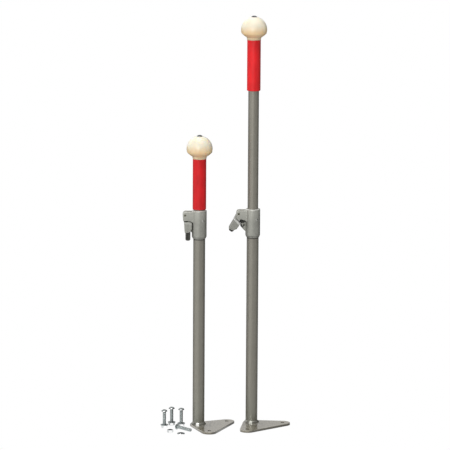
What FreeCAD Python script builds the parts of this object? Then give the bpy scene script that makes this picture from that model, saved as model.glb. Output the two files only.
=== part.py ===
import FreeCAD, Part
import math
import os

# A pair of telescopic holding posts on triangular foot plates. The left post is pushed
# right down with its cam lever shut, and the right post is drawn out with its lever open.
# The screws, washers and nuts that fix the feet lie loose beside the left post.
# Millimetres, +Z up. The origin is on the floor, on the axis of the left post, +X runs
# from the left post to the right one, and +Y runs away from the viewer.

# Foot plate, and where its two bolt holes are as seen from the tube
PLATE_T = 5.0
PLATE_ROOT_R = 20.0
PLATE_LOBE_R = 18.0
PLATE_EDGE = 0.8
HOLE_REACH = 74.0
HOLE_SPREAD_DEG = 94.0
HOLE_D = 9.0
WELD_LEG = 3.8
WELD_THROAT = 0.55

# Outer tube and inner tube
OUTER_D = 28.0
OUTER_WALL = 1.2
OUTER_LENGTH = 496.5
INNER_D = 25.0
INNER_WALL = 1.2

# Clearances: a running fit on a radius, and the air beside parts that only pass
RUNNING_GAP = 0.06
SIDE_GAP = 0.3

# Cast clamp round the top of the outer tube
CLAMP_D = 34.6
CLAMP_SEAT = 48.2
CLAMP_COLLAR = 19.9
CLAMP_TAPER = 5.0
CLAMP_FOOT_D = 29.6
CLAMP_TOP_ROUND = 2.5
CAST_ROUND = 1.4

# Lug of the clamp: the lever pin is PIN_REACH from the post's axis
PIN_D = 5.0
PIN_REACH = 33.1
PIN_RECESS = 0.9
PIN_BELOW_TOP = 11.9
LUG_WIDTH = 21.0
LUG_SLOT = 12.0
LUG_TOP = 8.8
LUG_END = 6.0
LUG_CORNER = 6.4
LUG_ROOT = 2.0
CHEEK_R = 13.9
CHEEK_LEAN = 1.2
CHEEK_DROP = 18.4
CHEEK_HOLLOW = 0.3
WEB_T = 5.0
WEB_RISE = 9.0
WEB_FACE = 8.4
WEB_BEAK = 1.3
WEB_BEAK_DROP = 18.4
WEB_NOSE = 3.7
WEB_NOSE_DROP = 29.5
WEB_BELLY_IN = 4.6
WEB_BELLY_RISE = 4.4
WEB_FOOT_IN = 0.4
WEB_DROP = 42.5
WEB_GAP = 0.6
WEB_POCKET_D = 3.2
WEB_POCKET_LENGTH = 6.5
WEB_POCKET_IN = 3.6
WEB_POCKET_DOWN = 24.3
WEB_POCKET_DEPTH = 1.6

# Cam lever: a channel that hangs from a spiral cam
CAM_R = 8.4
CAM_FALL = 0.36
CAM_GAP = 0.03
CAM_BACK_R = 5.4
CAM_RUN_ON_DEG = 3.0
CAM_STEPS = 12
CAM_SHOULDER_R = 6.4
CAM_SHOULDER_DEG = 150.0
LEVER_RANGE_DEG = 95.0
LEVER_LENGTH = 44.3
LEVER_INNER = 16.2
LEVER_BACK_TOP = 3.2
LEVER_BACK_IN = 0.4
LEVER_WALL = 2.5
NECK_INNER = 5.0
NECK_ROOT = 7.0
NECK_TOP = 6.3
SHOULDER_GAP = 1.0
CAP_OUTER = 17.2
CAP_INNER = 20.4

# Outline of the lever's tip from its back to its inner edge, as reach and height above its lowest point
LEVER_TIP = [(-1.4, 6.2), (-0.5, 3.2), (1.8, 0.9), (4.6, 0.0), (7.7, 0.9), (11.7, 5.4), (16.2, 11.6)]

# Pull-out finger tab inside the lever, and the two studs that ride in its grooves
TAB_DEPTH = 11.6
TAB_WALL = 2.2
TAB_SHOWS = 16.0
TAB_HEEL = 5.9
TAB_CAP_GAP = 0.6
TAB_ROUND = 4.0
TAB_PIN_D = 3.0
TAB_PIN_IN = 5.6
TAB_PIN_GAP = 0.15
TAB_PIN_INSET = 2.8
TAB_HOLLOW = 6.5
TAB_GROOVE = 2.0
STUD_GAP = 0.2
TAB_FLOOR = 3.2

# Brake pad between the cam and the inner tube
PAD_SIDE = 9.0
PAD_GAP = 0.15

# Rivet that fixes the clamp on the outer tube
RIVET_D = 4.0
RIVET_HEAD_D = 6.6
RIVET_HEAD_H = 1.3
RIVET_BELOW_TOP = 24.9
RIVET_TURN_DEG = -55.0

# Red grip sleeve, ball knob and the screw through it
SLEEVE_D = 31.8
SLEEVE_LENGTH = 119.8
SLEEVE_ROUND = 1.4
SLEEVE_STANDOFF = 2.0
KNOB_D = 61.0
KNOB_CENTRE_UP = 24.2
KNOB_BORE_DEPTH = 18.0
KNOB_NECK_D = 31.4
KNOB_NECK_TOP_D = 34.8
KNOB_NECK_H = 6.2
KNOB_WAIST_DOWN = 8.5
KNOB_UNDER_SWELL = 0.5
SCREW_SINK = 2.3
SCREW_HOLE_GAP = 0.3
PLUG_H = 20.0
GLIDE_SPIGOT = 16.0
GLIDE_FLANGE = 10.0
GLIDE_BORE_D = 14.0
GLIDE_CHAMFER = 1.0

# Round-head screws, washers and nuts
BOLT_D = 8.0
BOLT_LENGTH = 40.0
KNOB_SCREW_LENGTH = 46.0
HEAD_D = 14.0
HEAD_H = 4.4
HEAD_RIM = 0.8
SOCKET_AF = 5.0
SOCKET_DEPTH = 2.6
TIP_CHAMFER = 0.8
WASHER_D = 18.0
WASHER_T = 1.6
WASHER_GAP = 0.25
NUT_AF = 13.0
NUT_H = 6.5
NUT_CHAMFER = 1.0

# How far the inner tube can be drawn out, and what is then still held in the outer tube
TRAVEL = 300.0
HELD_IN = 120.0

# How the two posts stand
RIGHT_LIFT = 279.0
RIGHT_OPEN_DEG = 34.0
RIGHT_POST_X = 126.0
RIGHT_POST_Y = 23.0
LEFT_FOOT_DEG = -22.5
RIGHT_FOOT_DEG = -50.5

# Loose fasteners on the floor: three screws stand on their nuts and one lies down
STANDING_BOLTS = [(-80.7, -20.6), (-63.8, 7.0), (-40.9, -3.6)]
STANDING_NUT_DEG = [18.0, 3.0, 15.0]
LYING_BOLT = (-49.8, -38.1)
LYING_BOLT_DEG = -35.0
LOOSE_NUT = (-66.2, -66.2)
LOOSE_NUT_DEG = 10.0
LOOSE_WASHER = (-40.4, -80.0)

# Heights above the floor that follow from the sizes above
TUBE_TOP = PLATE_T + OUTER_LENGTH
CLAMP_TOP = TUBE_TOP + CLAMP_COLLAR
PIN_Z = CLAMP_TOP - PIN_BELOW_TOP
SLEEVE_Z = CLAMP_TOP + SLEEVE_STANDOFF
KNOB_Z = SLEEVE_Z + SLEEVE_LENGTH
INNER_TOP = KNOB_Z + KNOB_BORE_DEPTH
INNER_BOTTOM = TUBE_TOP - TRAVEL - HELD_IN

OUTER_R = OUTER_D / 2
OUTER_BORE_R = OUTER_R - OUTER_WALL
INNER_R = INNER_D / 2
INNER_BORE_R = INNER_R - INNER_WALL
CLAMP_R = CLAMP_D / 2

# Lever sizes in the lever's own frame: a runs from the pin to the tube, z up
BARREL_A = PIN_REACH - CLAMP_R
TAB_A = LEVER_BACK_IN + SIDE_GAP
TAB_HALF = LUG_WIDTH / 2 - LEVER_WALL - SIDE_GAP
TAB_TRAVEL = (LEVER_LENGTH + TAB_SHOWS - CAP_INNER - TAB_CAP_GAP - TAB_PIN_INSET - TAB_HEEL) / 2
TAB_LENGTH = TAB_PIN_INSET + TAB_TRAVEL + TAB_HEEL
TAB_TIP = -LEVER_LENGTH - TAB_SHOWS
TAB_TOP = TAB_TIP + TAB_LENGTH
TAB_PIN_Z = TAB_TOP - TAB_PIN_INSET
TAB_PIN_A = TAB_A + TAB_PIN_IN
CAP_SLOPE = (CAP_INNER - CAP_OUTER) / (BARREL_A - LEVER_BACK_IN)
NECK_SWEEP_R = CHEEK_R + SHOULDER_GAP
WEB_TOP_R = NECK_SWEEP_R + WEB_GAP

UP = FreeCAD.Vector(0, 0, 1)
ACROSS = FreeCAD.Vector(0, 1, 0)


def vec(x, y, z):
    return FreeCAD.Vector(x, y, z)


def cylinder(radius, bottom, top):
    """An upright cylinder on the Z axis between two heights."""
    return Part.makeCylinder(radius, top - bottom, vec(0, 0, bottom))


def ring(outer, inner, bottom, top):
    return cylinder(outer, bottom, top).cut(cylinder(inner, bottom - 1, top + 1))


def cross_pin(radius, length, a, z):
    """A cylinder across the clamp, at a and z from the lever pin."""
    return Part.makeCylinder(radius, length, side(a, z, -length / 2), ACROSS)


def side(a, z, y=0.0):
    """A point of the clamp's side view, counted from the lever pin."""
    return vec(a - PIN_REACH, y, z)


def line(start, end):
    return Part.LineSegment(start, end).toShape()


def arc(start, middle, end):
    return Part.Arc(start, middle, end).toShape()


def face_of(edges):
    return Part.Face(Part.Wire(edges))


def polygon(points):
    return face_of([line(p, q) for p, q in zip(points, points[1:] + points[:1])])


def thicken(face, width):
    """A side-view face made into a slab, half its width to each side."""
    slab = face.extrude(vec(0, width, 0))
    slab.translate(vec(0, -width / 2, 0))
    return slab


def revolve(edges):
    return face_of(edges).revolve(vec(0, 0, 0), UP, 360)


def rounded_sides(slab, width, radius):
    """Rounds the outline edges on both flat sides of a slab."""
    edges = [e for e in slab.Edges if all(abs(abs(v.Point.y) - width / 2) < 1e-6 for v in e.Vertexes)]
    return slab.makeFillet(radius, edges)


def hexagon(across_flats, bottom, height):
    radius = across_flats / math.sqrt(3)
    corners = [vec(radius * math.cos(math.radians(a)), radius * math.sin(math.radians(a)), bottom)
               for a in range(0, 360, 60)]
    return polygon(corners).extrude(vec(0, 0, height))


def rounded_hull(circles):
    """The outline that a belt takes round circles, given counter-clockwise as (x, y, radius)."""
    tangents = []
    for (x0, y0, r0), (x1, y1, r1) in zip(circles, circles[1:] + circles[:1]):
        gap = math.hypot(x1 - x0, y1 - y0)
        dx, dy = (x1 - x0) / gap, (y1 - y0) / gap
        lean = math.asin((r0 - r1) / gap)
        nx = dy * math.cos(lean) + dx * math.sin(lean)
        ny = -dx * math.cos(lean) + dy * math.sin(lean)
        tangents.append((vec(x0 + r0 * nx, y0 + r0 * ny, 0), vec(x1 + r1 * nx, y1 + r1 * ny, 0)))
    edges = []
    for index, (x, y, radius) in enumerate(circles):
        arrive = tangents[index - 1][1]
        leave = tangents[index][0]
        centre = vec(x, y, 0)
        bulge = ((arrive + leave) * 0.5 - centre).normalize() * radius
        edges += [arc(arrive, centre + bulge, leave), line(*tangents[index])]
    return face_of(edges)


def hole_centres():
    """The two bolt holes, to either side of the plate's own +X axis."""
    half = math.radians(HOLE_SPREAD_DEG / 2)
    return [vec(HOLE_REACH * math.cos(s * half), HOLE_REACH * math.sin(s * half), 0) for s in (-1, 1)]


def base_plate():
    near, far = hole_centres()
    outline = rounded_hull([(0, 0, PLATE_ROOT_R), (near.x, near.y, PLATE_LOBE_R),
                            (far.x, far.y, PLATE_LOBE_R)])
    plate = outline.extrude(vec(0, 0, PLATE_T))
    rims = [e for e in plate.Edges if all(v.Point.z > PLATE_T - 1e-6 for v in e.Vertexes)]
    plate = plate.makeFillet(PLATE_EDGE, rims)
    for centre in (near, far):
        plate = plate.cut(Part.makeCylinder(HOLE_D / 2, PLATE_T + 2, centre - UP))
    return plate


def foot_weld():
    """The bead where the tube meets the plate, a little hollow between its two legs."""
    toe = vec(OUTER_R + WELD_LEG, 0, PLATE_T)
    crown = vec(OUTER_R, 0, PLATE_T + WELD_LEG)
    throat = vec(OUTER_R + (1 - WELD_THROAT) * WELD_LEG, 0, PLATE_T + (1 - WELD_THROAT) * WELD_LEG)
    corner = vec(OUTER_R, 0, PLATE_T)
    return revolve([line(corner, toe), arc(toe, throat, crown), line(crown, corner)])


def outer_tube():
    tube = ring(OUTER_R, OUTER_BORE_R, PLATE_T, TUBE_TOP)
    return tube.cut(rivet_hole())


def rivet_hole():
    hole = Part.makeCylinder(RIVET_D / 2, OUTER_R, vec(INNER_R / 2, 0, 0), vec(1, 0, 0))
    hole.rotate(vec(0, 0, 0), UP, RIVET_TURN_DEG)
    hole.translate(vec(0, 0, CLAMP_TOP - RIVET_BELOW_TOP))
    return hole


def clamp_rivet():
    """A blind rivet: its shank ends flush with the bore, and its head is a low dome."""
    shank_in = OUTER_BORE_R + RUNNING_GAP
    shank = Part.makeCylinder(RIVET_D / 2, CLAMP_R - shank_in, vec(shank_in, 0, 0), vec(1, 0, 0))
    half = RIVET_HEAD_D / 2
    dome_r = (half * half + RIVET_HEAD_H * RIVET_HEAD_H) / (2 * RIVET_HEAD_H)
    dome = Part.makeSphere(dome_r, vec(CLAMP_R + RIVET_HEAD_H - dome_r, 0, 0))
    column = Part.makeCylinder(half, CLAMP_R, vec(CLAMP_R - RIVET_HEAD_H, 0, 0), vec(1, 0, 0))
    head = dome.common(column).cut(cylinder(CLAMP_R, -RIVET_HEAD_D, RIVET_HEAD_D))
    rivet = shank.fuse(head).removeSplitter()
    rivet.rotate(vec(0, 0, 0), UP, RIVET_TURN_DEG)
    rivet.translate(vec(0, 0, CLAMP_TOP - RIVET_BELOW_TOP))
    return rivet


def clamp_barrel():
    """The round of the clamp, from its tapered foot to its rounded rim, still solid."""
    top = PIN_BELOW_TOP
    bottom = PIN_BELOW_TOP - CLAMP_COLLAR - CLAMP_SEAT
    foot = vec(CLAMP_FOOT_D / 2, 0, bottom)
    waist = vec(CLAMP_R, 0, bottom + CLAMP_TAPER)
    shoulder = vec(CLAMP_R, 0, top - CLAMP_TOP_ROUND)
    rim = vec(CLAMP_R - CLAMP_TOP_ROUND, 0, top)
    bend = CLAMP_TOP_ROUND * (1 - math.sqrt(0.5))
    return revolve([line(vec(0, 0, bottom), foot), line(foot, waist), line(waist, shoulder),
                    arc(shoulder, vec(CLAMP_R - bend, 0, top - bend), rim),
                    line(rim, vec(0, 0, top)), line(vec(0, 0, top), vec(0, 0, bottom))])


def cheek_outline():
    """Side view of the lug: round above the pin, leaning back to an arc that clears the lever."""
    deep = PIN_REACH - OUTER_R / 2
    round_a = LUG_CORNER - LUG_END
    round_z = LUG_TOP - LUG_CORNER
    lean = math.asin((LUG_END - CHEEK_LEAN) / CHEEK_R)
    heel_a = -CHEEK_R * math.sin(lean)
    heel_z = -CHEEK_R * math.cos(lean)
    toe_a = CHEEK_R * math.sin(lean)
    wall_a = PIN_REACH - math.sqrt(CLAMP_R ** 2 - (LUG_WIDTH / 2) ** 2)
    bend = LUG_CORNER * math.sqrt(0.5)
    mid_a = (toe_a + wall_a) / 2
    mid_z = heel_z - CHEEK_HOLLOW * (CHEEK_DROP + heel_z)
    return face_of([
        line(side(deep, -CHEEK_DROP), side(deep, LUG_TOP)),
        line(side(deep, LUG_TOP), side(round_a, LUG_TOP)),
        arc(side(round_a, LUG_TOP), side(round_a - bend, round_z + bend), side(-LUG_END, round_z)),
        line(side(-LUG_END, round_z), side(heel_a, heel_z)),
        arc(side(heel_a, heel_z), side(0, -CHEEK_R), side(toe_a, heel_z)),
        arc(side(toe_a, heel_z), side(mid_a, mid_z), side(wall_a, -CHEEK_DROP)),
        line(side(wall_a, -CHEEK_DROP), side(deep, -CHEEK_DROP))])


def web_outline():
    """Side view of the rib: up into the lug's slot, out under the lever's neck, and down to the barrel."""
    deep = PIN_REACH - OUTER_R / 2
    face_z = -math.sqrt(WEB_TOP_R ** 2 - WEB_FACE ** 2)
    beak_z = -math.sqrt(WEB_TOP_R ** 2 - WEB_BEAK ** 2)
    mid_a = (WEB_FACE + WEB_BEAK) / 2
    crest = side(mid_a, -math.sqrt(WEB_TOP_R ** 2 - mid_a ** 2))
    face = side(WEB_FACE, face_z)
    beak = side(WEB_BEAK, beak_z)
    outline = [beak, side(WEB_BEAK, -WEB_BEAK_DROP), side(WEB_NOSE, -WEB_BEAK_DROP - WEB_NOSE + WEB_BEAK),
               side(WEB_NOSE, -WEB_NOSE_DROP), side(BARREL_A - WEB_BELLY_IN, WEB_BELLY_RISE - WEB_DROP),
               side(BARREL_A + WEB_FOOT_IN, -WEB_DROP), side(deep, -WEB_DROP), side(deep, -WEB_RISE),
               side(WEB_FACE, -WEB_RISE), face]
    return face_of([arc(face, crest, beak)] + [line(p, q) for p, q in zip(outline, outline[1:])])


def web_pockets():
    """The small upright pocket cast into each side of the rib beside the barrel."""
    a = BARREL_A - WEB_POCKET_IN
    top = -WEB_POCKET_DOWN - WEB_POCKET_D / 2
    bottom = top - WEB_POCKET_LENGTH + WEB_POCKET_D
    ends = [cross_pin(WEB_POCKET_D / 2, WEB_T, a, z) for z in (top, bottom)]
    middle = Part.makeBox(WEB_POCKET_D, WEB_T, top - bottom, side(a - WEB_POCKET_D / 2, bottom, -WEB_T / 2))
    floor = WEB_T - 2 * WEB_POCKET_DEPTH
    core = Part.makeBox(PIN_REACH, floor, WEB_DROP, side(0, -WEB_DROP, -floor / 2))
    return ends[0].fuse([ends[1], middle]).cut(core)


def clamp_body():
    """The casting: barrel, forked lug, rib, bores, pin hole and the pad's window."""
    lug = rounded_sides(thicken(cheek_outline(), LUG_WIDTH), LUG_WIDTH, CAST_ROUND)
    slot_end = CLAMP_R + LUG_ROOT
    slot = Part.makeBox(PIN_REACH, LUG_SLOT, 4 * CHEEK_DROP,
                        vec(-slot_end - PIN_REACH, -LUG_SLOT / 2, -2 * CHEEK_DROP))
    body = clamp_barrel().fuse([lug.cut(slot), thicken(web_outline(), WEB_T)]).removeSplitter()
    seat_top = PIN_BELOW_TOP - CLAMP_COLLAR
    bottom = seat_top - CLAMP_SEAT
    window = PAD_SIDE + 2 * PAD_GAP
    cuts = [cylinder(OUTER_R, bottom - 1, seat_top),
            cylinder(INNER_R + RUNNING_GAP, seat_top - 1, PIN_BELOW_TOP + 1),
            Part.makeBox(slot_end, window, window, vec(-slot_end - 1, -window / 2, -window / 2)),
            cross_pin(PIN_D / 2, 2 * LUG_WIDTH, 0, 0), web_pockets()]
    body = body.cut(cuts)
    body.translate(vec(0, 0, PIN_Z))
    return body.cut(rivet_hole())


def cam_outline():
    """Side view of the hub and neck: a spiral where the pad bears, a plain back elsewhere."""
    sweep = LEVER_RANGE_DEG + 2 * CAM_RUN_ON_DEG
    spiral = []
    for step in range(CAM_STEPS + 1):
        angle = math.radians(sweep * step / CAM_STEPS - CAM_RUN_ON_DEG)
        radius = CAM_R - CAM_FALL * angle
        spiral.append(side(radius * math.cos(angle), radius * math.sin(angle)))
    curve = Part.BSplineCurve()
    curve.interpolate(spiral)
    crown = spiral[-1]
    over = math.radians(CAM_SHOULDER_DEG)
    back = side(-CAM_BACK_R, 0)
    shoulder = side(CAM_SHOULDER_R * math.cos(over), CAM_SHOULDER_R * math.sin(over))
    heel_out = side(-LEVER_BACK_TOP, -CAP_OUTER)
    heel_in = side(NECK_ROOT, -CAP_OUTER)
    throat = side(NECK_INNER, -NECK_TOP)
    return face_of([curve.toShape(), arc(crown, shoulder, back), line(back, heel_out),
                    line(heel_out, heel_in), line(heel_in, throat), line(throat, spiral[0])])


def paddle_outline():
    """Side view of the lever below the lug, before the lug's clearance is taken off."""
    tip = [side(a, rise - LEVER_LENGTH) for a, rise in LEVER_TIP]
    return polygon([side(-LEVER_BACK_TOP, -LUG_TOP)] + tip + [side(LEVER_INNER, -LUG_TOP)])


def channel_outline():
    """Side view of the hollow of the lever, open towards the tube and at the tip."""
    open_end = -2 * LEVER_LENGTH
    return polygon([side(LEVER_BACK_IN, -CAP_OUTER), side(LEVER_BACK_IN, open_end), side(PIN_REACH, open_end),
                    side(PIN_REACH, -CAP_OUTER - CAP_SLOPE * (PIN_REACH - LEVER_BACK_IN))])


def rib_slot():
    """What is cut from the lever's neck and cap so that they pass the rib."""
    width = WEB_T + 2 * SIDE_GAP
    deep = 2 * LEVER_LENGTH
    beak_a = WEB_BEAK - WEB_GAP
    face_a = WEB_FACE - WEB_GAP
    under = Part.makeBox(PIN_REACH, width, deep, side(beak_a, -WEB_RISE - deep, -width / 2))
    behind = Part.makeBox(PIN_REACH, width, deep, side(face_a, -WEB_RISE - deep, -width / 2))
    return under.cut(cross_pin(NECK_SWEEP_R, 2 * width, 0, 0)).fuse(behind)


def lug_clearance():
    """The lug's side view grown by the shoulder gap, as a slab wider than the lever."""
    return thicken(cheek_outline().makeOffset2D(SHOULDER_GAP), 2 * LUG_WIDTH)


def lever_tab():
    """The finger tab drawn out: a small channel with a rounded closed end and a groove in each side."""
    width = 2 * TAB_HALF
    block = thicken(polygon([side(TAB_A, TAB_TOP), side(TAB_A, TAB_TIP), side(TAB_A + TAB_DEPTH, TAB_TIP),
                             side(TAB_A + TAB_DEPTH, TAB_TOP)]), width)
    corners = [e for e in block.Edges if all(abs(v.Point.z - TAB_TIP) < 1e-6 for v in e.Vertexes)
               and abs(e.Vertexes[0].Point.y - e.Vertexes[1].Point.y) > width / 2]
    block = block.makeFillet(TAB_ROUND, corners)
    inner = TAB_A + TAB_WALL
    floor = TAB_TIP + TAB_FLOOR
    hollow = thicken(polygon([side(inner, TAB_TOP + 1), side(inner, floor), side(PIN_REACH, floor),
                              side(PIN_REACH, TAB_TOP + 1)]), TAB_HOLLOW)
    slot_r = TAB_PIN_D / 2 + TAB_PIN_GAP
    ends = [cross_pin(slot_r, 2 * width, TAB_PIN_A, z) for z in (TAB_PIN_Z, TAB_PIN_Z - TAB_TRAVEL)]
    slot = Part.makeBox(2 * slot_r, 2 * width, TAB_TRAVEL,
                        side(TAB_PIN_A - slot_r, TAB_PIN_Z - TAB_TRAVEL, -width)).fuse(ends)
    core = Part.makeBox(PIN_REACH, width - 2 * TAB_GROOVE, 2 * TAB_LENGTH,
                        side(0, TAB_TIP - TAB_LENGTH / 2, TAB_GROOVE - width / 2))
    return block.cut([hollow, slot.cut(core)])


def cam_lever():
    """The cast lever, shut: hub and cam between the cheeks, a channel under them."""
    paddle = rounded_sides(thicken(paddle_outline(), LUG_WIDTH), LUG_WIDTH, CAST_ROUND)
    channel = thicken(channel_outline(), LUG_WIDTH - 2 * LEVER_WALL)
    barrel_room = cylinder(CLAMP_R + SHOULDER_GAP, -2 * LEVER_LENGTH, LEVER_LENGTH)
    paddle = paddle.cut([channel, lug_clearance(), barrel_room])
    hub = thicken(cam_outline(), LUG_SLOT - 2 * SIDE_GAP)
    lever = paddle.fuse(hub).removeSplitter()
    return lever.cut([rib_slot(), cross_pin(PIN_D / 2 + RUNNING_GAP, 2 * LUG_WIDTH, 0, 0),
                      cross_pin(TAB_PIN_D / 2, 2 * LUG_WIDTH, TAB_PIN_A, TAB_PIN_Z)])


def lever_pin():
    return cross_pin(PIN_D / 2, LUG_WIDTH - 2 * PIN_RECESS, 0, 0)


def tab_studs():
    """Two studs, one through each side of the lever, that end inside the tab's grooves."""
    inner = TAB_HALF - TAB_GROOVE + STUD_GAP
    length = LUG_WIDTH / 2 - inner
    return Part.makeCompound([Part.makeCylinder(TAB_PIN_D / 2, length, side(TAB_PIN_A, TAB_PIN_Z, y), ACROSS)
                              for y in (inner, -LUG_WIDTH / 2)])


def brake_pad():
    """The pad in its window, with a hollow face that fits the inner tube."""
    back = PIN_REACH - CAM_R - CAM_GAP
    block = Part.makeBox(back, PAD_SIDE, PAD_SIDE, vec(-back, -PAD_SIDE / 2, -PAD_SIDE / 2))
    return block.cut(cylinder(INNER_R, -PAD_SIDE, PAD_SIDE))


def inner_tube():
    return ring(INNER_R, INNER_BORE_R, INNER_BOTTOM, INNER_TOP)


def glide_bush():
    """The plastic foot of the inner tube, which runs in the outer tube."""
    flange = cylinder(OUTER_BORE_R - RUNNING_GAP, INNER_BOTTOM - GLIDE_FLANGE, INNER_BOTTOM)
    flange = flange.makeChamfer(GLIDE_CHAMFER, [flange.Edges[2]])
    spigot = cylinder(INNER_BORE_R - RUNNING_GAP, INNER_BOTTOM, INNER_BOTTOM + GLIDE_SPIGOT)
    bore = cylinder(GLIDE_BORE_D / 2, INNER_BOTTOM - GLIDE_FLANGE - 1, INNER_BOTTOM + GLIDE_SPIGOT + 1)
    return flange.fuse(spigot).cut(bore).removeSplitter()


def grip_sleeve():
    sleeve = cylinder(SLEEVE_D / 2, SLEEVE_Z, KNOB_Z)
    sleeve = sleeve.makeFillet(SLEEVE_ROUND, [e for e in sleeve.Edges if e.BoundBox.ZMax < SLEEVE_Z + 1])
    return sleeve.cut(cylinder(INNER_R, SLEEVE_Z - 1, KNOB_Z + 1))


def tube_plug():
    """The steel plug in the top of the inner tube that the knob's screw bites in."""
    return ring(INNER_BORE_R, BOLT_D / 2, INNER_TOP - PLUG_H, INNER_TOP)


def knob_top():
    """Height of the seat under the screw head."""
    return KNOB_Z + KNOB_CENTRE_UP + KNOB_D / 2 - SCREW_SINK


def ball_knob():
    """A ball drawn in to a collar below, bored for the tube and for its screw."""
    radius = KNOB_D / 2
    centre = KNOB_Z + KNOB_CENTRE_UP
    waist_r = math.sqrt(radius ** 2 - KNOB_WAIST_DOWN ** 2)
    neck_z = KNOB_Z + KNOB_NECK_H
    top = vec(0, 0, centre + radius)
    waist = vec(waist_r, 0, centre - KNOB_WAIST_DOWN)
    collar = vec(KNOB_NECK_TOP_D / 2, 0, neck_z)
    lip = vec(KNOB_NECK_D / 2, 0, KNOB_Z)
    under = (waist + collar) * 0.5 + vec(KNOB_UNDER_SWELL, 0, -KNOB_UNDER_SWELL)
    ball = revolve([arc(top, vec(radius, 0, centre), waist), arc(waist, under, collar), line(collar, lip),
                    line(lip, vec(0, 0, KNOB_Z)), line(vec(0, 0, KNOB_Z), top)])
    seat = knob_top()
    return ball.cut([cylinder(INNER_R, KNOB_Z - 1, INNER_TOP),
                     cylinder(BOLT_D / 2 + SCREW_HOLE_GAP, INNER_TOP - 1, seat),
                     cylinder(HEAD_D / 2 + SCREW_HOLE_GAP, seat, seat + HEAD_D)])


def round_screw(length):
    """A round-head screw standing on its tip at the origin, with a hexagon socket."""
    half = HEAD_D / 2
    rise = HEAD_H - HEAD_RIM
    crown_r = (half * half + rise * rise) / (2 * rise)
    lean = math.asin(half / crown_r) / 2
    rim = length + HEAD_RIM
    top = length + HEAD_H
    middle = vec(crown_r * math.sin(lean), 0, top - crown_r + crown_r * math.cos(lean))
    tip = vec(BOLT_D / 2 - TIP_CHAMFER, 0, 0)
    shank = vec(BOLT_D / 2, 0, TIP_CHAMFER)
    body = revolve([line(vec(0, 0, 0), tip), line(tip, shank), line(shank, vec(BOLT_D / 2, 0, length)),
                    line(vec(BOLT_D / 2, 0, length), vec(half, 0, length)),
                    line(vec(half, 0, length), vec(half, 0, rim)),
                    arc(vec(half, 0, rim), middle, vec(0, 0, top)),
                    line(vec(0, 0, top), vec(0, 0, 0))])
    return body.cut(hexagon(SOCKET_AF, top - SOCKET_DEPTH, SOCKET_DEPTH + 1))


def knob_screw():
    screw = round_screw(KNOB_SCREW_LENGTH)
    screw.translate(vec(0, 0, knob_top() - KNOB_SCREW_LENGTH))
    return screw


def hex_nut():
    """A nut lying flat on the floor, its corners turned off above and below."""
    blank = hexagon(NUT_AF, 0, NUT_H)
    corner = NUT_AF / math.sqrt(3)
    cone_h = NUT_CHAMFER + corner - NUT_AF / 2
    low = Part.makeCone(corner - cone_h, corner - cone_h + 2 * NUT_H, 2 * NUT_H)
    high = low.mirror(vec(0, 0, NUT_H / 2), UP)
    return blank.common(low).common(high).cut(cylinder(BOLT_D / 2, -1, NUT_H + 1))


def flat_washer():
    return ring(WASHER_D / 2, BOLT_D / 2 + WASHER_GAP, 0, WASHER_T)


def foot_bolts():
    """Three screws upright on the floor, and one that lies on its head's rim and its tip."""
    bolts = []
    for x, y in STANDING_BOLTS:
        bolt = round_screw(BOLT_LENGTH)
        bolt.translate(vec(x, y, 0))
        bolts.append(bolt)
    lying = round_screw(BOLT_LENGTH)
    tilt = math.atan((HEAD_D - BOLT_D) / 2 / BOLT_LENGTH)
    lying.translate(vec(0, 0, -BOLT_LENGTH))
    lying.rotate(vec(0, 0, 0), ACROSS, -90 + math.degrees(tilt))
    lying.rotate(vec(0, 0, 0), UP, LYING_BOLT_DEG)
    lying.translate(vec(LYING_BOLT[0], LYING_BOLT[1], HEAD_D / 2 * math.cos(tilt)))
    return bolts + [lying]


def foot_nuts():
    nuts = []
    for (x, y), turn in zip(STANDING_BOLTS, STANDING_NUT_DEG):
        nut = hex_nut()
        nut.rotate(vec(0, 0, 0), UP, turn)
        nut.translate(vec(x, y, 0))
        nuts.append(nut)
    loose = hex_nut()
    loose.rotate(vec(0, 0, 0), UP, LOOSE_NUT_DEG)
    loose.translate(vec(LOOSE_NUT[0], LOOSE_NUT[1], 0))
    return nuts + [loose]


def foot_washers():
    washers = []
    for x, y in STANDING_BOLTS:
        washer = flat_washer()
        washer.translate(vec(x, y, NUT_H))
        washers.append(washer)
    loose = flat_washer()
    loose.translate(vec(LOOSE_WASHER[0], LOOSE_WASHER[1], 0))
    return washers + [loose]


def open_lever(shape, angle):
    """Swings a lever piece out about the lever pin."""
    shape.rotate(side(0, 0), ACROSS, angle)
    return shape


def post(foot_turn, lift, opened, tab_in):
    """All pieces of one post that stands on the origin, as (name, shape)."""
    plate = base_plate()
    plate.rotate(vec(0, 0, 0), UP, foot_turn)
    pieces = [("base_plate", plate), ("foot_weld", foot_weld()), ("outer_tube", outer_tube()),
              ("clamp_body", clamp_body()), ("clamp_rivet", clamp_rivet())]
    tab = lever_tab()
    tab.translate(vec(0, 0, tab_in))
    pad = brake_pad()
    pad.translate(vec(-CAM_FALL * math.radians(opened), 0, 0))
    for name, shape in (("cam_lever", open_lever(cam_lever(), opened)),
                        ("lever_tab", open_lever(tab, opened)),
                        ("tab_studs", open_lever(tab_studs(), opened)),
                        ("lever_pin", lever_pin()), ("brake_pad", pad)):
        shape.translate(vec(0, 0, PIN_Z))
        pieces.append((name, shape))
    for name, shape in (("inner_tube", inner_tube()), ("glide_bush", glide_bush()),
                        ("tube_plug", tube_plug()), ("grip_sleeve", grip_sleeve()),
                        ("ball_knob", ball_knob()), ("knob_screw", knob_screw())):
        shape.translate(vec(0, 0, lift))
        pieces.append((name, shape))
    return pieces


def save(name, shapes):
    shape = shapes[0] if len(shapes) == 1 else Part.makeCompound(shapes)
    shape.exportStep(f"parts/{name}.step")


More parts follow.
